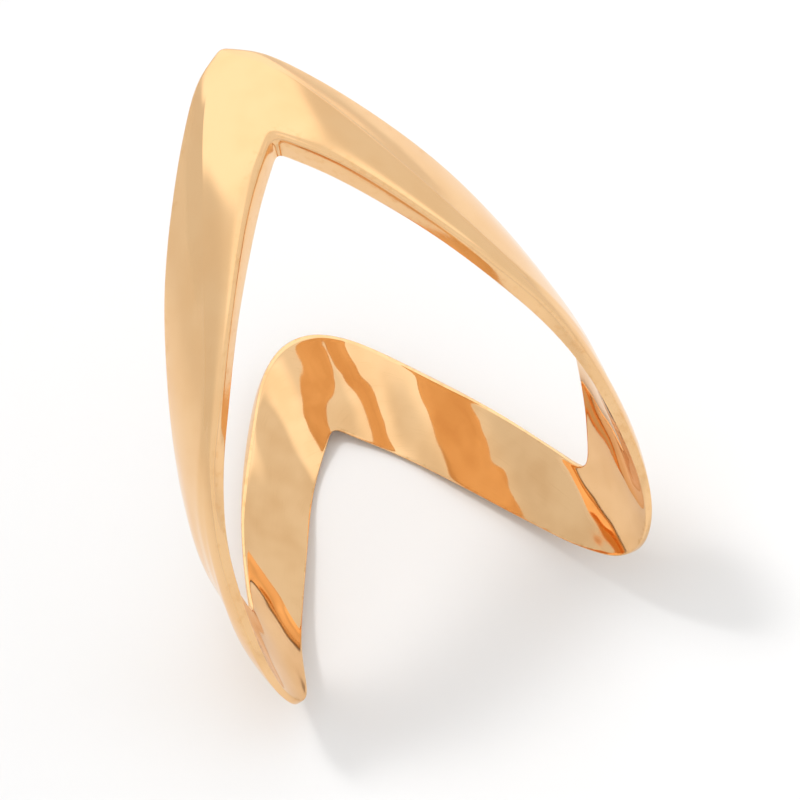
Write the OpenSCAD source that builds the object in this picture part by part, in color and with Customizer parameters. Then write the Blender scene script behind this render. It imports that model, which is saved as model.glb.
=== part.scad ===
// Gold ring with two chevrons: one solid band round the finger, whose front and back both
// rise to a point, with two low tips at the sides. The finger hole is one round bore.
// The band is drawn upright, with the finger hole along Z, and is then laid down on its side.

/* [Finger hole] */
// Width of the round finger hole
hole_d = 17.4; // [15:0.1:21]

/* [Band] */
// Scale of all the band's heights along the finger
height_scale = 1; // [0.8:0.01:1.1]
// Scale of all the wall's thicknesses
wall_scale = 1; // [0.8:0.05:1.5]
// Wall at the thin upper edge
edge_wall = 0.3; // [0.25:0.05:0.6]
// How far the front half's lower edge is turned round from its even place, in degrees
front_low_turn = -0.6; // [-3:0.1:3]
// How far the front half's upper edge is turned
front_high_turn = -1.5; // [-3:0.1:3]
// How far the back half's lower edge is turned
back_low_turn = 4.3; // [0:0.1:6]
// How far the back half's upper edge is turned
back_high_turn = 2.8; // [0:0.1:6]
// How far the outer faces bulge between the edges
crown = 0.06; // [0:0.01:0.15]

/* [Resting pose] */
// Turn about the line through the two side tips, which lays the ring down
lay_down = -76.6; // [-90:0.1:0]
// Lean to one side once it is laid down
lean = -4.2; // [-10:0.1:10]

/* [Hidden] */

hole_r = hole_d / 2;
// Cut depth: the wall starts this far inside the bore, which then trims it round
bore_cut = 0.5;
// Length of the bore's cut, well past both points
bore_reach = 60;
// Sections round the finger
stations = 144;
// Angles from the front point at which the edges begin to turn the back half's way
low_turns_from = 112;
high_turns_from = 98;
// Stretch over which they do so
turns_over = 25;
// Half of the stretch over which the wall's sizes are averaged, so that no bend shows
fairing = 6;

// One half of the band, from the front point (0) round to the back point (180).
// angle: degrees round the finger
// low, high: heights of the lower and upper edge
// corner: height of the outer lower corner over the inner one
// foot: wall at the outer lower corner
// share: place of the ridge between that corner (0) and the upper edge (1)
// ridge: wall at the ridge
ANGLE = 0;
LOW = 1;
HIGH = 2;
CORNER = 3;
FOOT = 4;
SHARE = 5;
RIDGE = 6;
half = [
    // angle, low, high, corner, foot, share, ridge
    [  0, 11.5, 16.6,  0.3, 1.45, 0.94, 0.50],
    [ 10,  9.8, 15.7,  0.2, 1.45, 0.82, 0.85],
    [ 20,  7.9, 13.9, -0.1, 1.30, 0.60, 1.05],
    [ 30,  6.0, 11.9, -0.4, 1.05, 0.38, 1.10],
    [ 45,  3.2,  8.9, -0.3, 0.80, 0.18, 1.00],
    [ 60,  0.9,  5.8,  0.0, 0.60, 0.20, 0.80],
    [ 75, -1.4,  3.3,  0.0, 0.45, 0.35, 0.65],
    [ 90, -4.4,  1.7,  0.0, 0.40, 0.45, 0.60],
    [100, -5.7,  0.7,  0.0, 0.35, 0.50, 0.55],
    [110, -6.4, -1.0,  0.0, 0.30, 0.50, 0.50],
    [118, -6.4, -2.1,  0.0, 0.30, 0.50, 0.50],
    [125, -5.9, -0.7,  0.0, 0.35, 0.50, 0.80],
    [140, -2.9,  3.1,  0.0, 0.40, 0.60, 1.00],
    [155,  0.5,  6.6,  0.0, 0.40, 0.60, 0.80],
    [168,  3.4,  9.2,  0.0, 0.40, 0.50, 0.80],
    [180,  5.6, 10.1,  0.0, 0.40, 0.50, 0.80],
];
rows = len(half);

// The table's last row at or before an angle
function row_at(a, k = 0) = k >= rows - 2 || half[k + 1][ANGLE] > a ? k : row_at(a, k + 1);

// Slope of a column at a row, from its neighbours
function slope(k, c) =
    let(b = max(k - 1, 0), e = min(k + 1, rows - 1))
    (half[e][c] - half[b][c]) / (half[e][ANGLE] - half[b][ANGLE]);

// A column's smooth value at any angle from 0 to 180
function column(c, a) =
    let(
        k = row_at(a),
        gap = half[k + 1][ANGLE] - half[k][ANGLE],
        t = (a - half[k][ANGLE]) / gap,
        mix = t * t * (3 - 2 * t),
        rise = gap * t * (1 - t) * (slope(k, c) * (1 - t) - slope(k + 1, c) * t)
    )
    half[k][c] * (1 - mix) + half[k + 1][c] * mix + rise;

// A column's average over a short stretch, mirrored at the front and back points
function faired(c, a) =
    let(around = [for (k = [-2:2]) 180 - abs(180 - abs(a + k * fairing / 2))])
    [for (b = around) column(c, b)] * [for (b = around) 1] / len(around);

// Smooth step from 0 to 1
function ease(t) = t <= 0 ? 0 : t >= 1 ? 1 : t * t * (3 - 2 * t);

// A point at a share of the way from p to q, pushed outwards by the crown
function bulged(p, q, share) =
    p + (q - p) * share + [4 * share * (1 - share) * crown * norm(q - p), 0];

// The band's outline at an angle, as points [distance from the finger's line, height]
function section(a, inside) =
    let(
        low = column(LOW, a) * height_scale,
        high = column(HIGH, a) * height_scale,
        foot = [hole_r + faired(FOOT, a) * wall_scale, low + faired(CORNER, a)],
        top = [hole_r + edge_wall, high],
        ridge = [
            hole_r + faired(RIDGE, a) * wall_scale,
            foot.y + (top.y - foot.y) * faired(SHARE, a)
        ]
    )
    [
        [inside, low],
        foot,
        bulged(foot, ridge, 0.5),
        ridge,
        bulged(ridge, top, 0.33),
        bulged(ridge, top, 0.67),
        top,
        [inside, high]
    ];

// A value that goes over from the front half's to the back half's
function turn(a, front, back, from) =
    let(behind = ease((a - from) / turns_over)) front * (1 - behind) + back * behind;

// The whole band's points, station by station, from behind on the left round to the right
function turned(p, a) = [p.x * sin(a), -p.x * cos(a), p.y];
function wall(inside) = [
    for (i = [0:stations - 1])
        let(
            a = 360 * i / stations - 180,
            around = section(abs(a), inside),
            low = around[0].y,
            high = around[len(around) - 1].y,
            low_turn = turn(abs(a), front_low_turn, back_low_turn, low_turns_from),
            high_turn = turn(abs(a), front_high_turn, back_high_turn, high_turns_from)
        )
        for (p = around)
            let(rise = (p.y - low) / (high - low))
            turned(p, a + low_turn * (1 - rise) + high_turn * rise)
];
points = wall(hole_r - bore_cut);
corners = len(points) / stations;
function at(i, j) = (i % stations) * corners + j % corners;
faces = [
    for (i = [0:stations - 1], j = [0:corners - 1])
        for (f = [
            [at(i, j), at(i, j + 1), at(i + 1, j)],
            [at(i + 1, j), at(i, j + 1), at(i + 1, j + 1)]
        ]) f
];

// The pose in which the ring lies on its side
function rolled(p) = [p.x * cos(lean) + p.z * sin(lean), p.y, p.z * cos(lean) - p.x * sin(lean)];
function laid(p) =
    rolled([
        p.x,
        p.y * cos(lay_down) - p.z * sin(lay_down),
        p.y * sin(lay_down) + p.z * cos(lay_down)
    ]);
lying = [for (p = wall(hole_r)) laid(p)];
lowest = [for (c = [0:2]) min([for (p = lying) p[c]])];
highest = [for (c = [0:2]) max([for (p = lying) p[c]])];
centre = (lowest + highest) / 2;

module band() {
    color("gold")
        translate([-centre.x, -centre.y, -lowest.z])
            rotate([0, lean, 0])
                rotate([lay_down, 0, 0])
                    difference() {
                        polyhedron(points = points, faces = faces);
                        cylinder(h = bore_reach, r = hole_r, center = true, $fn = stations);
                    }
}

band();
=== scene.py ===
"""A polished gold ring with two chevrons, lying on its back point in soft studio light."""

import logging
import math
from dataclasses import dataclass
from enum import IntEnum

import bmesh
import bpy
from mathutils import Matrix, Vector


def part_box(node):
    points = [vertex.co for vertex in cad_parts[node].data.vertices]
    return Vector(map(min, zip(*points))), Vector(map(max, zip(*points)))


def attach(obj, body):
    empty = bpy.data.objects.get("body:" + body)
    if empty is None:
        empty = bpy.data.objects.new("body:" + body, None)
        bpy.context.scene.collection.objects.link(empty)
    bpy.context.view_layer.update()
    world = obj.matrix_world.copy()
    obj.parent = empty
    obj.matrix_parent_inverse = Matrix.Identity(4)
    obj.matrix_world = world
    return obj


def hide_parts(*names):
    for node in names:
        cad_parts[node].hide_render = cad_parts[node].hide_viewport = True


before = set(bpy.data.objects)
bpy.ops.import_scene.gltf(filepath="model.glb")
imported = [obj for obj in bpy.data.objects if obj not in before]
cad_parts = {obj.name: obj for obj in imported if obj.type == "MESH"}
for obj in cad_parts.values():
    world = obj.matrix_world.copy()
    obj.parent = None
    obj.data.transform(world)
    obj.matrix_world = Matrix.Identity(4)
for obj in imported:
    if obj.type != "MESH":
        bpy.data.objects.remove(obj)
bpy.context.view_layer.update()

LOG = logging.getLogger("ring")
MM = 0.001
AXIS_Z = (0.0, 0.0, 1.0)
ORIGIN = (0.0, 0.0, 0.0)


class Corner(IntEnum):
    """The corners of a section across the band, in order round it."""

    INNER_LOW = 0
    FOOT = 1
    LOWER_FACE = 2
    RIDGE_LOW = 3
    RIDGE = 4
    RIDGE_HIGH = 5
    UPPER_FACE = 6
    TOP = 7
    INNER_TOP = 8
    BORE_HIGH = 9
    BORE_MID = 10
    BORE_LOW = 11


RIMS = (Corner.INNER_LOW, Corner.FOOT, Corner.TOP, Corner.INNER_TOP)
# The inner wall's corners, as heights from its lower edge (0) to its upper one (1)
INNER_RISES = {Corner.INNER_TOP: 1.0, Corner.BORE_HIGH: 0.9, Corner.BORE_MID: 0.5, Corner.BORE_LOW: 0.1}
# Degrees to either side over which the wall's sizes are averaged
FAIRING = 6.0
RUN_MAP = "run"
RIM_MASK = "rim"
# How squarely a face must look at the finger's line to belong to the bore
BORE_FACING = -0.8


@dataclass(frozen=True)
class Section:
    """One section across the band, in millimetres.

    angle is counted in degrees round the finger, from the front point. low and high are the
    heights of the two edges, corner is the outer lower corner's height over the inner one, foot
    is the wall there, share is the ridge's place from that corner (0) to the upper edge (1),
    ridge is the wall there, and soft is how far the ridge's rounding reaches to either side.
    inset is how far hand polishing has left the inner wall inside the true bore, and lean is how
    many degrees that wall leans outwards towards its upper edge.
    """

    angle: float
    low: float
    high: float
    corner: float
    foot: float
    share: float
    ridge: float
    soft: float
    inset: float
    lean: float


HALF = (
    Section(0, 11.5, 16.7, 0.3, 1.45, 0.94, 0.50, 0.12, 0.0, 0.0),
    Section(10, 9.8, 15.7, 0.2, 1.45, 0.82, 0.85, 0.12, 0.0, 0.0),
    Section(20, 7.9, 13.9, -0.1, 1.30, 0.60, 1.05, 0.14, 0.0, 0.0),
    Section(30, 6.0, 11.9, -0.4, 1.05, 0.38, 1.10, 0.18, 0.0, 0.0),
    Section(45, 3.2, 8.9, -0.3, 0.80, 0.18, 1.00, 0.30, 0.0, 0.0),
    Section(60, 0.9, 5.8, 0.0, 0.60, 0.20, 0.80, 0.50, 0.0, 0.0),
    Section(75, -1.4, 3.3, 0.0, 0.45, 0.35, 0.65, 0.70, 0.0, 0.0),
    Section(90, -4.4, 1.7, 0.0, 0.40, 0.45, 0.60, 0.80, 0.0, 0.0),
    Section(100, -5.7, 0.7, 0.0, 0.35, 0.50, 0.55, 0.80, 0.0, 0.0),
    Section(110, -6.4, -1.0, 0.0, 0.30, 0.50, 0.50, 0.70, 0.0, 0.0),
    Section(118, -6.5, -2.1, 0.0, 0.30, 0.50, 0.50, 0.60, 0.0, 1.5),
    Section(125, -5.9, -0.7, 0.0, 0.35, 0.50, 0.80, 0.70, -0.02, 3.0),
    Section(140, -2.9, 3.1, 0.0, 0.40, 0.60, 1.00, 0.80, -0.08, 1.7),
    Section(155, 0.5, 6.6, 0.0, 0.40, 0.60, 0.80, 0.80, 0.13, -1.5),
    Section(168, 3.4, 9.2, 0.0, 0.40, 0.50, 0.80, 0.80, -0.04, -5.0),
    Section(180, 5.6, 10.1, 0.0, 0.40, 0.50, 0.80, 0.80, 0.03, -6.0),
)


def ease(t: float) -> float:
    """Returns a smooth step from 0 to 1 as t goes from 0 to 1."""
    t = min(max(t, 0.0), 1.0)
    return t * t * (3 - 2 * t)


def past(angle: float, start: float, over: float) -> float:
    """Returns a smooth step from 0 to 1 as an angle passes start, over so many degrees."""
    return ease((angle - start) / over)


def at_angle(name: str, angle: float) -> float:
    """Reads one column of the sections at any angle.

    Args:
        name: The column, one of the fields of Section.
        angle: Degrees round the finger, from 0 in front to 180 behind.

    Returns:
        The smooth value there.
    """
    last = len(HALF) - 2
    k = max(i for i in range(last + 1) if HALF[i].angle <= angle or i == 0)

    def value(i: int) -> float:
        """Returns the column's value in row i."""
        return getattr(HALF[i], name)

    def slope(i: int) -> float:
        """Returns the column's slope at row i, from its neighbours."""
        before, after = max(i - 1, 0), min(i + 1, last + 1)
        return (value(after) - value(before)) / (HALF[after].angle - HALF[before].angle)

    gap = HALF[k + 1].angle - HALF[k].angle
    t = (angle - HALF[k].angle) / gap
    mix = t * t * (3 - 2 * t)
    rise = gap * t * (1 - t) * (slope(k) * (1 - t) - slope(k + 1) * t)
    return value(k) * (1 - mix) + value(k + 1) * mix + rise


def faired(name: str, angle: float) -> float:
    """Averages one column of the sections over a short stretch, so that no bend shows.

    Args:
        name: The column, one of the fields of Section.
        angle: Degrees round the finger, from 0 in front to 180 behind.

    Returns:
        The averaged value there.
    """
    offsets = (-FAIRING, -FAIRING / 2, 0.0, FAIRING / 2, FAIRING)
    mirrored = (180 - abs(180 - abs(angle + offset)) for offset in offsets)
    return sum(at_angle(name, a) for a in mirrored) / len(offsets)


def start_edit(piece: bpy.types.Object) -> bmesh.types.BMesh:
    """Opens a piece for editing with nothing selected and returns its edit mesh."""
    bpy.ops.object.select_all(action="DESELECT")
    piece.select_set(True)
    bpy.context.view_layer.objects.active = piece
    bpy.ops.object.mode_set(mode="EDIT")
    bpy.ops.mesh.select_all(action="DESELECT")
    return bmesh.from_edit_mesh(piece.data)


def select_along(
    mesh: bmesh.types.BMesh,
    labels: dict[int, tuple[int, int]],
    corners: set[int],
    stations: set[int] | None = None,
) -> None:
    """Selects the edges that run round the band through some of its corners.

    Args:
        mesh: The edit mesh.
        labels: Each vertex's station and corner.
        corners: The corners whose edges are selected.
        stations: The stations that both ends must be in, or None for all.
    """
    for edge in mesh.edges:
        (station_a, a), (station_b, b) = (labels[v.index] for v in edge.verts)
        inside = stations is None or {station_a, station_b} <= stations
        if a == b and a in corners and inside:
            edge.select_set(True)


@dataclass
class ChevronBand:
    """The band: one closed strip of gold that runs once round the finger.

    It is modelled upright in millimetres, with the finger hole along Z and the front at -Y, and
    is then laid down as it rests. What differs behind begins to change at the angle that its
    _from field gives, and has changed after the degrees that its _over field gives.

    The turns are those of the lower and the upper edge. crown is how far the outer faces bulge,
    as a share of their width, and dome is how the inner wall curves behind, per millimetre.
    softest is the share of a face that the ridge's rounding may take. rim, back_rim and
    foot_share, a share of the wall there, are the widths of the rounded edges, and widest_rim is
    the width that a full bevel weight stands for. tube_d is the plain tube that the band is
    shaped from. slant is how much longer the band is than the circle, because it climbs.
    """

    hole_d: float = 17.4
    edge_wall: float = 0.3
    front_low_turn: float = -0.6
    front_high_turn: float = -1.5
    back_low_turn: float = 4.3
    back_high_turn: float = 2.8
    low_turns_from: float = 112.0
    high_turns_from: float = 98.0
    turns_over: float = 25.0
    fair_edge_from: float = 130.0
    fair_edge_over: float = 30.0
    crown: float = 0.09
    front_crown: float = 0.025
    crown_from: float = 60.0
    crown_over: float = 40.0
    dome: float = -0.0115
    dome_from: float = 100.0
    dome_over: float = 30.0
    softest: float = 0.3
    stations: int = 144
    rim: float = 0.06
    foot_share: float = 0.30
    back_rim: float = 0.22
    back_rim_from: float = 120.0
    back_rim_over: float = 40.0
    widest_rim: float = 0.45
    rim_segments: int = 2
    levels: int = 2
    tube_d: float = 1.0
    slant: float = 1.25
    lay_down: float = -76.6
    lean: float = -4.2

    @property
    def hole_r(self) -> float:
        """Returns the finger hole's radius."""
        return self.hole_d / 2

    @property
    def step(self) -> float:
        """Returns the angle between two stations, in degrees."""
        return 360 / self.stations

    def outline(self, angle: float) -> list[tuple[float, float]]:
        """Works out the band's section at an angle.

        Args:
            angle: Degrees from the front point, 0 to 180.

        Returns:
            A point (distance from the finger's line, height) for each Corner, in its order.
        """
        low, high = at_angle("low", angle), at_angle("high", angle)
        fair = past(angle, self.fair_edge_from, self.fair_edge_over)
        high += (faired("high", angle) - high) * fair
        foot = Vector((self.hole_r + faired("foot", angle), low + faired("corner", angle)))
        top = Vector((self.hole_r + self.edge_wall, high))
        ridge = Vector((self.hole_r + faired("ridge", angle), 0))
        ridge.y = foot.y + (top.y - foot.y) * faired("share", angle)
        shorter = min(self.softest * (top - ridge).length, self.softest * (ridge - foot).length)
        soft = min(faired("soft", angle), shorter)

        def bulged(p: Vector, q: Vector) -> Vector:
            """Returns the middle of p and q, pushed outwards by the crown."""
            return (p + q) / 2 + Vector((crown * (q - p).length, 0))

        def inner(rise: float) -> Vector:
            """Returns the inner wall's point from the lower edge (0) to the upper one (1)."""
            up = (rise - 0.5) * (high - low)
            tilt = math.radians(at_angle("lean", angle))
            dome = self.dome * past(angle, self.dome_from, self.dome_over)
            across = self.hole_r - at_angle("inset", angle) + tilt * up + dome * up * up / 2
            return Vector((across, low + rise * (high - low)))

        behind = past(angle, self.crown_from, self.crown_over)
        crown = self.front_crown + (self.crown - self.front_crown) * behind
        around = [
            inner(0.0),
            foot,
            bulged(foot, ridge),
            ridge + soft * (foot - ridge).normalized(),
            ridge,
            ridge + soft * (top - ridge).normalized(),
            bulged(ridge, top),
            top,
            *(inner(rise) for rise in INNER_RISES.values()),
        ]
        return [(p.x, p.y) for p in around]

    def turn(self, angle: float, rise: float) -> float:
        """Works out how far the band is turned from its even place, as the real one is.

        Args:
            angle: Degrees from the front point, 0 to 180.
            rise: The place across the band, from its lower edge (0) to its upper one (1).

        Returns:
            The turn in degrees.
        """
        behind = past(angle, self.low_turns_from, self.turns_over)
        low = self.front_low_turn * (1 - behind) + self.back_low_turn * behind
        behind = past(angle, self.high_turns_from, self.turns_over)
        high = self.front_high_turn * (1 - behind) + self.back_high_turn * behind
        return low * (1 - rise) + high * rise

    def place(self, station: int, corner: int) -> Vector:
        """Returns where one corner of one station's section stands."""
        angle = self.step * station - 180
        outline = self.outline(abs(angle))
        across, height = outline[corner]
        low, high = outline[Corner.INNER_LOW][1], outline[Corner.INNER_TOP][1]
        rise = (height - low) / (high - low)
        # Subdivision pulls each vertex in towards its neighbours, so it starts further out
        swell = 3 / (2 + math.cos(math.radians(self.step)))
        a = math.radians(angle + self.turn(abs(angle), rise))
        return Vector((across * swell * math.sin(a), -across * swell * math.cos(a), height))

    def spin_tube(self) -> bpy.types.Object:
        """Adds a small circle of one vertex for each corner and spins it into a closed tube."""
        bpy.ops.object.select_all(action="DESELECT")
        bpy.ops.mesh.primitive_circle_add(
            vertices=len(Corner),
            radius=self.tube_d / 2,
            location=(self.hole_r, 0, 0),
            rotation=(math.pi / 2, 0, 0),
        )
        tube = bpy.context.object
        bpy.ops.object.transform_apply(location=True, rotation=True, scale=True)
        start_edit(tube)
        bpy.ops.mesh.select_all(action="SELECT")
        bpy.ops.mesh.spin(steps=self.stations, angle=math.tau, center=ORIGIN, axis=AXIS_Z)
        bpy.ops.mesh.select_all(action="SELECT")
        bpy.ops.mesh.remove_doubles(threshold=self.tube_d / 100)
        bpy.ops.object.mode_set(mode="OBJECT")
        return tube

    def label(self, point: Vector) -> tuple[int, int]:
        """Returns the station and the corner that a vertex of the plain tube stands for."""
        angle = math.degrees(math.atan2(point.x, -point.y))
        station = round((angle + 180) / self.step) % self.stations
        out = math.hypot(point.x, point.y) - self.hole_r
        turn = math.atan2(point.z, out) % math.tau
        return station, round(turn / (math.tau / len(Corner))) % len(Corner)

    def shape(self, tube: bpy.types.Object) -> dict[int, tuple[int, int]]:
        """Moves every vertex of the tube to its place on the band.

        Args:
            tube: The closed tube from spin_tube.

        Returns:
            Each vertex's station and corner.
        """
        labels = {v.index: self.label(v.co) for v in tube.data.vertices}
        mesh = start_edit(tube)
        mesh.verts.ensure_lookup_table()
        for index, (station, corner) in labels.items():
            vertex = mesh.verts[index]
            vertex.select = True
            bpy.ops.transform.translate(value=self.place(station, corner) - vertex.co)
            mesh = bmesh.from_edit_mesh(tube.data)
            mesh.verts.ensure_lookup_table()
            mesh.verts[index].select = False
        bpy.ops.object.mode_set(mode="OBJECT")
        return labels

    def unroll(self, band: bpy.types.Object, labels: dict[int, tuple[int, int]]) -> None:
        """Gives the band a UV map in millimetres along and across it, and marks its rims.

        Args:
            band: The shaped band, before its rims are rounded.
            labels: Each vertex's station and corner.
        """
        across = {}
        for station in range(self.stations):
            around = self.outline(abs(self.step * station - 180))
            total = [0.0]
            for p, q in zip(around, around[1:] + around[:1]):
                total.append(total[-1] + math.dist(p, q))
            across[station] = total
        run = band.data.uv_layers.new(name=RUN_MAP)
        along = self.slant * math.tau * self.hole_r / self.stations
        for face in band.data.polygons:
            places = [labels[i] for i in face.vertices]
            last_station = max(station for station, _ in places) == self.stations - 1
            last_corner = max(corner for _, corner in places) == len(Corner) - 1
            for loop, (station, corner) in zip(face.loop_indices, places):
                far = self.stations if last_station and station == 0 else station
                end = len(Corner) if last_corner and corner == 0 else corner
                run.data[loop].uv = (far * along, across[station][end])
        mask = band.data.attributes.new(RIM_MASK, "FLOAT", "POINT")
        for index, (_, corner) in labels.items():
            mask.data[index].value = 1.0 if corner in RIMS else 0.0

    def dress(self, band: bpy.types.Object) -> None:
        """Gives the outside and the bore their finishes, while the band is still upright."""
        marks = polish_group()
        for finish in (OUTSIDE, BORE):
            band.data.materials.append(finish.material(marks))
        mesh = start_edit(band)
        for face in mesh.faces:
            middle = face.calc_center_median()
            outwards = Vector((middle.x, middle.y, 0)).normalized()
            face.select_set(face.normal.dot(outwards) < BORE_FACING)
        bmesh.update_edit_mesh(band.data)
        band.active_material_index = 1
        bpy.ops.object.material_slot_assign()
        bpy.ops.object.mode_set(mode="OBJECT")

    def roll_rims(self, band: bpy.types.Object, labels: dict[int, tuple[int, int]]) -> None:
        """Rounds the four edges that run round the band.

        The foot is the rounder the thicker it is, and the inner upper edge is rounder behind.

        Args:
            band: The shaped band.
            labels: Each vertex's station and corner.
        """
        for station in range(self.stations):
            pair = {station, (station + 1) % self.stations}
            angle = abs(self.step * (station + 0.5) - 180)
            behind = past(angle, self.back_rim_from, self.back_rim_over)
            rims = {
                Corner.FOOT: max(faired("foot", angle) * self.foot_share, self.rim),
                Corner.INNER_TOP: self.rim + (self.back_rim - self.rim) * behind,
            }
            for corner, size in rims.items():
                mesh = start_edit(band)
                select_along(mesh, labels, {corner}, pair)
                bpy.ops.transform.edge_bevelweight(value=size / self.widest_rim)
                bpy.ops.object.mode_set(mode="OBJECT")
        mesh = start_edit(band)
        select_along(mesh, labels, {Corner.INNER_LOW, Corner.TOP})
        bpy.ops.transform.edge_bevelweight(value=self.rim / self.widest_rim)
        bpy.ops.object.mode_set(mode="OBJECT")
        rolled = band.modifiers.new("Rims", "BEVEL")
        rolled.limit_method = "WEIGHT"
        rolled.width = self.widest_rim
        rolled.segments = self.rim_segments
        bpy.ops.object.modifier_apply(modifier=rolled.name)
        start_edit(band)
        bpy.ops.mesh.select_all(action="SELECT")
        bpy.ops.mesh.normals_make_consistent(inside=False)
        bpy.ops.object.mode_set(mode="OBJECT")

    def smooth(self, band: bpy.types.Object) -> None:
        """Subdivides the band into its smooth surface and shades it smooth."""
        finer = band.modifiers.new("Subdivision", "SUBSURF")
        finer.levels = finer.render_levels = self.levels
        bpy.ops.object.modifier_apply(modifier=finer.name)
        bpy.ops.object.shade_smooth()

    def lay(self, band: bpy.types.Object) -> None:
        """Lays the upright band down on its back point, where the frame holds it."""
        turn = Matrix.Rotation(math.radians(self.lean), 4, "Y")
        turn = turn @ Matrix.Rotation(math.radians(self.lay_down), 4, "X")
        band.matrix_world = Matrix.Scale(MM, 4) @ turn
        bpy.ops.object.transform_apply(location=True, rotation=True, scale=True)
        low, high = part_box("band")
        points = [v.co for v in band.data.vertices]
        least = Vector(min(p[i] for p in points) for i in range(3))
        most = Vector(max(p[i] for p in points) for i in range(3))
        move = (low + high - least - most) / 2
        move.z = low.z - least.z
        band.location = move
        bpy.ops.object.transform_apply(location=True, rotation=True, scale=True)

    def build(self) -> bpy.types.Object:
        """Models the band, lays it down and returns it."""
        band = self.spin_tube()
        band.name = band.data.name = "gold_band"
        labels = self.shape(band)
        self.unroll(band, labels)
        self.roll_rims(band, labels)
        self.smooth(band)
        self.dress(band)
        self.lay(band)
        return band


def polish_group() -> bpy.types.NodeTree:
    """Builds the shared node group for polishing marks, wear and painted reflection patches on gold.

    Returns:
        The group. Place is a point in millimetres, Run is the same point unrolled (along and
        across the band, in millimetres), and Rim is 1 on the band's edges. Height is in
        millimetres, Haze is a roughness, and Depth goes from clean metal (0) to the darker tone (1),
        which is stains and rubbed rims, and in the bore painted reflection.
    """
    group = bpy.data.node_groups.new("polish_marks", "ShaderNodeTree")
    for name, kind in (
        ("Place", "NodeSocketVector"),
        ("Run", "NodeSocketVector"),
        ("Rim", "NodeSocketFloat"),
        ("Wave Shift", "NodeSocketVector"),
        ("Wave Size", "NodeSocketFloat"),
        ("Wave Height", "NodeSocketFloat"),
        ("Streak Height", "NodeSocketFloat"),
        ("Clean", "NodeSocketFloat"),
        ("Hazy", "NodeSocketFloat"),
    ):
        group.interface.new_socket(name, in_out="INPUT", socket_type=kind)
    for name in ("Height", "Haze", "Depth"):
        group.interface.new_socket(name, in_out="OUTPUT", socket_type="NodeSocketFloat")
    nodes, links = group.nodes, group.links
    given = nodes.new("NodeGroupInput").outputs
    result = nodes.new("NodeGroupOutput").inputs

    def noise(
        vector: bpy.types.NodeSocket, detail: float, scale: float = 1.0
    ) -> bpy.types.NodeSocket:
        """Adds a noise over a vector and returns its value."""
        node = nodes.new("ShaderNodeTexNoise")
        node.inputs["Scale"].default_value = scale
        node.inputs["Detail"].default_value = detail
        links.new(vector, node.inputs["Vector"])
        return node.outputs["Fac"]

    def math_node(kind: str, *values: bpy.types.NodeSocket | float) -> bpy.types.NodeSocket:
        """Adds a Math node fed by sockets or plain numbers and returns its value."""
        node = nodes.new("ShaderNodeMath")
        node.operation = kind
        for socket, value in zip(node.inputs, values):
            if isinstance(value, bpy.types.NodeSocket):
                links.new(value, socket)
            else:
                socket.default_value = value
        return node.outputs[0]

    def vector_math(
        kind: str, first: bpy.types.NodeSocket, second: bpy.types.NodeSocket
    ) -> bpy.types.NodeSocket:
        """Adds a Vector Math node fed by two sockets and returns its vector."""
        node = nodes.new("ShaderNodeVectorMath")
        node.operation = kind
        links.new(first, node.inputs[0])
        links.new(second, node.inputs[1])
        return node.outputs[0]

    def stretched(
        vector: bpy.types.NodeSocket, along: float, across: float
    ) -> bpy.types.NodeSocket:
        """Returns the vector divided by a mark's length and width, in millimetres."""
        node = nodes.new("ShaderNodeVectorMath")
        node.operation = "MULTIPLY"
        node.inputs[1].default_value = (1 / along, 1 / across, 1.0)
        links.new(vector, node.inputs[0])
        return node.outputs[0]

    def ramp(value: bpy.types.NodeSocket, low: float, high: float) -> bpy.types.NodeSocket:
        """Returns a smooth step of the value from 0 at low to 1 at high."""
        node = nodes.new("ShaderNodeMapRange")
        node.interpolation_type = "SMOOTHSTEP"
        node.inputs["From Min"].default_value = low
        node.inputs["From Max"].default_value = high
        links.new(value, node.inputs["Value"])
        return node.outputs["Result"]

    def part(value: bpy.types.NodeSocket, share: float) -> bpy.types.NodeSocket:
        """Returns a share of a mask."""
        return math_node("MULTIPLY", value, share)

    middle = 0.5
    shifted = vector_math("ADD", given["Place"], given["Wave Shift"])
    waves = noise(vector_math("DIVIDE", shifted, given["Wave Size"]), detail=1.5)
    wave = math_node("MULTIPLY", math_node("SUBTRACT", waves, middle), given["Wave Height"])
    streaks = noise(stretched(given["Run"], along=2.5, across=0.05), detail=2.0)
    streak = math_node("MULTIPLY", math_node("SUBTRACT", streaks, middle), given["Streak Height"])
    scratches = noise(stretched(given["Run"], along=1.1, across=0.03), detail=0.0)
    hairlines = ramp(scratches, low=0.70, high=0.80)
    patches = ramp(noise(given["Place"], detail=2.0, scale=0.45), low=0.35, high=0.70)
    specks = ramp(noise(given["Place"], detail=3.0, scale=3.0), low=0.50, high=0.75)
    worn = math_node("MULTIPLY", ramp(given["Rim"], low=0.55, high=1.0), specks)
    links.new(math_node("ADD", wave, streak), result["Height"])
    # Darker tone: stains and rubbed rims, and in the bore painted reflection for uneven reflections
    stain_and_reflection = math_node("ADD", part(patches, share=0.35), part(worn, share=0.6))
    links.new(math_node("ADD", stain_and_reflection, part(hairlines, share=0.2)), result["Depth"])
    haze = math_node("ADD", part(patches, share=0.6), part(hairlines, share=0.8))
    haze = math_node("MINIMUM", math_node("ADD", haze, worn), 1.0)
    spread = math_node("SUBTRACT", given["Hazy"], given["Clean"])
    links.new(math_node("ADD", given["Clean"], math_node("MULTIPLY", haze, spread)), result["Haze"])
    return group


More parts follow.
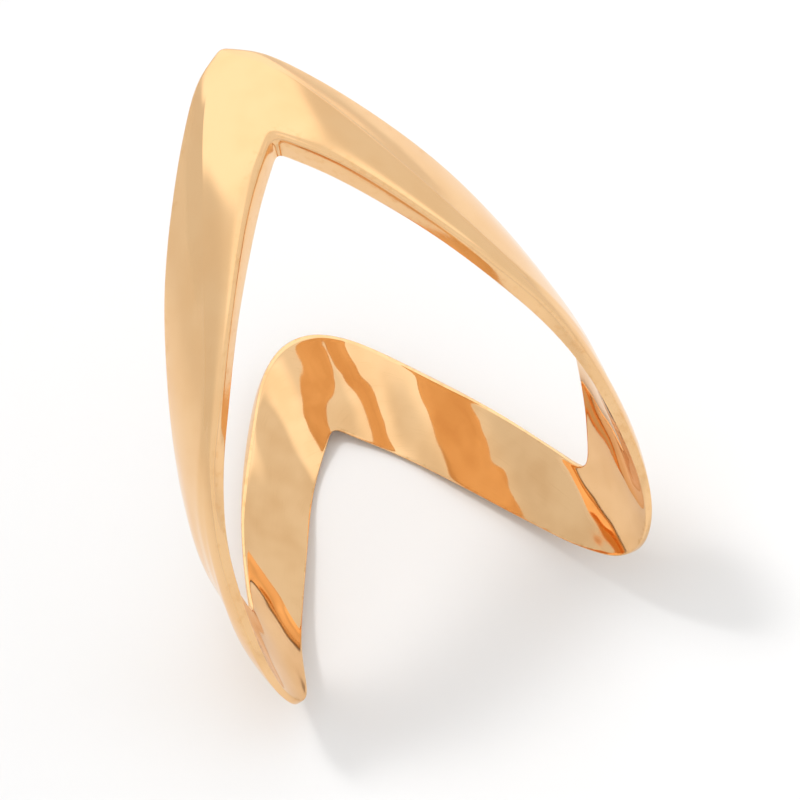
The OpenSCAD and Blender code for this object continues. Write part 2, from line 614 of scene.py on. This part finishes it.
@dataclass(frozen=True)
class PolishedGold:
    """Polished rose-yellow gold.

    Sizes and heights are in millimetres. wave_shift moves the pattern of the waves along X, and
    clean and hazy are the roughness of the best and the most worn metal.
    """

    name: str
    wave_size: float
    wave_height: float
    streak_height: float
    clean: float
    hazy: float
    wave_shift: float = 0.0
    colour: tuple[float, float, float] = (0.90, 0.58, 0.30)
    # Colour of the darker patches: stains outside, painted reflection in the bore
    stain_and_reflection_tone: tuple[float, float, float] = (0.84, 0.49, 0.22)

    def material(self, marks: bpy.types.NodeTree) -> bpy.types.Material:
        """Builds the node material.

        Args:
            marks: The shared group from polish_group.

        Returns:
            The material.
        """
        made = bpy.data.materials.new(self.name)
        made.use_nodes = True
        nodes, links = made.node_tree.nodes, made.node_tree.links
        shader = nodes["Principled BSDF"]
        shader.inputs["Metallic"].default_value = 1.0
        where = nodes.new("ShaderNodeTexCoord")
        place = nodes.new("ShaderNodeVectorMath")
        place.operation = "SCALE"
        place.inputs["Scale"].default_value = 1 / MM
        links.new(where.outputs["Object"], place.inputs[0])
        run = nodes.new("ShaderNodeUVMap")
        run.uv_map = RUN_MAP
        rim = nodes.new("ShaderNodeAttribute")
        rim.attribute_name = RIM_MASK
        group = nodes.new("ShaderNodeGroup")
        group.node_tree = marks
        group.inputs["Wave Shift"].default_value = (self.wave_shift, 0.0, 0.0)
        group.inputs["Wave Size"].default_value = self.wave_size
        group.inputs["Wave Height"].default_value = self.wave_height
        group.inputs["Streak Height"].default_value = self.streak_height
        group.inputs["Clean"].default_value = self.clean
        group.inputs["Hazy"].default_value = self.hazy
        links.new(place.outputs[0], group.inputs["Place"])
        links.new(run.outputs["UV"], group.inputs["Run"])
        links.new(rim.outputs["Fac"], group.inputs["Rim"])
        tone = nodes.new("ShaderNodeMix")
        tone.data_type = "RGBA"
        # A Mix node keeps its colours in its seventh and eighth input and its third output
        clean, stain_and_reflection_colour, mixed = tone.inputs[6], tone.inputs[7], tone.outputs[2]
        clean.default_value = (*self.colour, 1.0)
        # The darker colour: stains outside, painted reflection in the bore
        stain_and_reflection_colour.default_value = (*self.stain_and_reflection_tone, 1.0)
        links.new(group.outputs["Depth"], tone.inputs["Factor"])
        links.new(mixed, shader.inputs["Base Color"])
        links.new(group.outputs["Haze"], shader.inputs["Roughness"])
        bump = nodes.new("ShaderNodeBump")
        bump.inputs["Strength"].default_value = 1.0
        bump.inputs["Distance"].default_value = MM
        links.new(group.outputs["Height"], bump.inputs["Height"])
        links.new(bump.outputs["Normal"], shader.inputs["Normal"])
        return made


OUTSIDE = PolishedGold(
    "polished_gold_outside",
    wave_size=2.2,
    wave_height=0.004,
    streak_height=0.0004,
    clean=0.09,
    hazy=0.18,
)
BORE = PolishedGold(
    "polished_gold_bore",
    wave_size=5.0,
    wave_height=0.30,
    streak_height=0.0001,
    clean=0.03,
    hazy=0.08,
    wave_shift=111.0,
    # In the bore the darker patches are painted reflection, standing in for uneven reflections
    stain_and_reflection_tone=(0.66, 0.35, 0.13),
)


@dataclass(frozen=True)
class Softbox:
    """One soft round light, placed by its direction from the point that it faces.

    It lights the floor and doesn't show in the gold. Distance, size and aim are in metres,
    spread is in degrees and power in watts.
    """

    name: str
    aim: tuple[float, float, float]
    power: float
    azimuth: float = -150.0
    elevation: float = 50.0
    distance: float = 0.35
    size: float = 0.10
    spread: float = 16.0

    def add(self) -> bpy.types.Object:
        """Adds the light and returns its object."""
        aim = Vector(self.aim)
        place = aim + self.distance * direction(self.azimuth, self.elevation)
        bpy.ops.object.light_add(type="AREA", location=place)
        lamp = bpy.context.object
        lamp.name = lamp.data.name = self.name
        lamp.data.shape = "DISK"
        lamp.data.size = self.size
        lamp.data.spread = math.radians(self.spread)
        lamp.data.energy = self.power
        lamp.rotation_euler = (aim - lamp.location).to_track_quat("-Z", "Y").to_euler()
        lamp.visible_camera = lamp.visible_glossy = False
        return lamp


@dataclass(frozen=True)
class Panel:
    """One round patch of the white tent round the ring, brighter or dimmer than the rest.

    The patch is full out to inner degrees from its middle and has faded away at outer degrees.
    """

    azimuth: float
    elevation: float
    inner: float
    outer: float
    level: float


@dataclass(frozen=True)
class Tent:
    """The white tent that the ring stands in, as a world with soft patches."""

    level: float
    panels: tuple[Panel, ...]

    def add(self) -> bpy.types.World:
        """Builds the world, makes it the scene's own and returns it."""
        world = bpy.data.worlds.new("white_tent")
        world.use_nodes = True
        nodes, links = world.node_tree.nodes, world.node_tree.links
        where = nodes.new("ShaderNodeTexCoord")
        brightness = nodes.new("ShaderNodeValue")
        brightness.outputs[0].default_value = self.level
        last = brightness.outputs[0]
        for panel in self.panels:
            near = nodes.new("ShaderNodeVectorMath")
            near.operation = "DOT_PRODUCT"
            near.inputs[1].default_value = direction(panel.azimuth, panel.elevation)
            links.new(where.outputs["Generated"], near.inputs[0])
            fade = nodes.new("ShaderNodeMapRange")
            fade.interpolation_type = "SMOOTHSTEP"
            fade.inputs["From Min"].default_value = math.cos(math.radians(panel.outer))
            fade.inputs["From Max"].default_value = math.cos(math.radians(panel.inner))
            links.new(near.outputs["Value"], fade.inputs["Value"])
            mix = nodes.new("ShaderNodeMix")
            mix.inputs["B"].default_value = panel.level
            links.new(fade.outputs["Result"], mix.inputs["Factor"])
            links.new(last, mix.inputs["A"])
            last = mix.outputs["Result"]
        background = nodes["Background"]
        background.inputs["Color"].default_value = (1.0, 1.0, 1.0, 1.0)
        links.new(last, background.inputs["Strength"])
        bpy.context.scene.world = world
        return world


@dataclass(frozen=True)
class PhotoCamera:
    """The camera, placed by its direction from the point that it aims at.

    Angles are in degrees, distance, aim and nearest in metres, lens and sensor in millimetres.
    """

    azimuth: float = -21.13
    elevation: float = 55.80
    roll: float = 4.19
    distance: float = 0.348
    aim: tuple[float, float, float] = (0.00088, -0.00233, 0.00938)
    lens: float = 375.3
    sensor: float = 36.0
    nearest: float = 0.01

    def add(self) -> bpy.types.Object:
        """Adds the camera, makes it the scene's own and returns it."""
        aim = Vector(self.aim)
        toward = direction(self.azimuth, self.elevation)
        bpy.ops.object.camera_add(location=aim + self.distance * toward)
        camera = bpy.context.object
        camera.name = camera.data.name = "photo_camera"
        turn = (-toward).to_track_quat("-Z", "Y").to_matrix()
        turn = turn @ Matrix.Rotation(-math.radians(self.roll), 3, "Z")
        camera.rotation_euler = turn.to_euler()
        camera.data.lens = self.lens
        camera.data.sensor_width = self.sensor
        camera.data.clip_start = self.nearest
        bpy.context.scene.camera = camera
        return camera


def direction(azimuth: float, elevation: float) -> Vector:
    """Returns the unit vector towards an azimuth (0 is -Y, 90 is +X) and an elevation."""
    a, e = math.radians(azimuth), math.radians(elevation)
    return Vector((math.sin(a) * math.cos(e), -math.cos(a) * math.cos(e), math.sin(e)))


@dataclass(frozen=True)
class Floor:
    """The plain pale floor: its width in metres, its tone and its roughness."""

    width: float = 4.0
    tone: float = 0.74
    roughness: float = 0.6

    def add(self) -> bpy.types.Object:
        """Adds the floor and returns it."""
        bpy.ops.mesh.primitive_plane_add(size=self.width)
        floor = bpy.context.object
        floor.name = floor.data.name = "floor"
        pale = bpy.data.materials.new("pale_floor")
        pale.use_nodes = True
        shader = pale.node_tree.nodes["Principled BSDF"]
        shader.inputs["Base Color"].default_value = (self.tone, self.tone, self.tone, 1.0)
        shader.inputs["Roughness"].default_value = self.roughness
        floor.data.materials.append(pale)
        return floor


LAMPS = (
    Softbox("key", aim=(0.012, 0.0, 0.01), power=0.0098),
    Softbox("behind", aim=(0.07, 0.07, 0.0), power=0.012),
)
WHITE_TENT = Tent(
    level=0.96,
    panels=(
        Panel(azimuth=105, elevation=20, inner=35, outer=60, level=0.88),
        Panel(azimuth=-118, elevation=0, inner=26, outer=50, level=0.80),
        Panel(azimuth=142, elevation=2, inner=12, outer=26, level=1.30),
        Panel(azimuth=-175, elevation=45, inner=39, outer=45, level=1.37),
        Panel(azimuth=84, elevation=52, inner=8, outer=22, level=1.32),
        Panel(azimuth=-75, elevation=62, inner=12, outer=24, level=1.22),
    ),
)


def main() -> None:
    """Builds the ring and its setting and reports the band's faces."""
    logging.basicConfig(level=logging.INFO)
    band = ChevronBand().build()
    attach(band, "root")
    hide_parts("band")
    LOG.info("%s: %d faces", band.name, len(band.data.polygons))
    Floor().add()
    PhotoCamera().add()
    for lamp in LAMPS:
        lamp.add()
    WHITE_TENT.add()
    bpy.context.scene.view_settings.view_transform = "Standard"


if __name__ == "__main__":
    main()
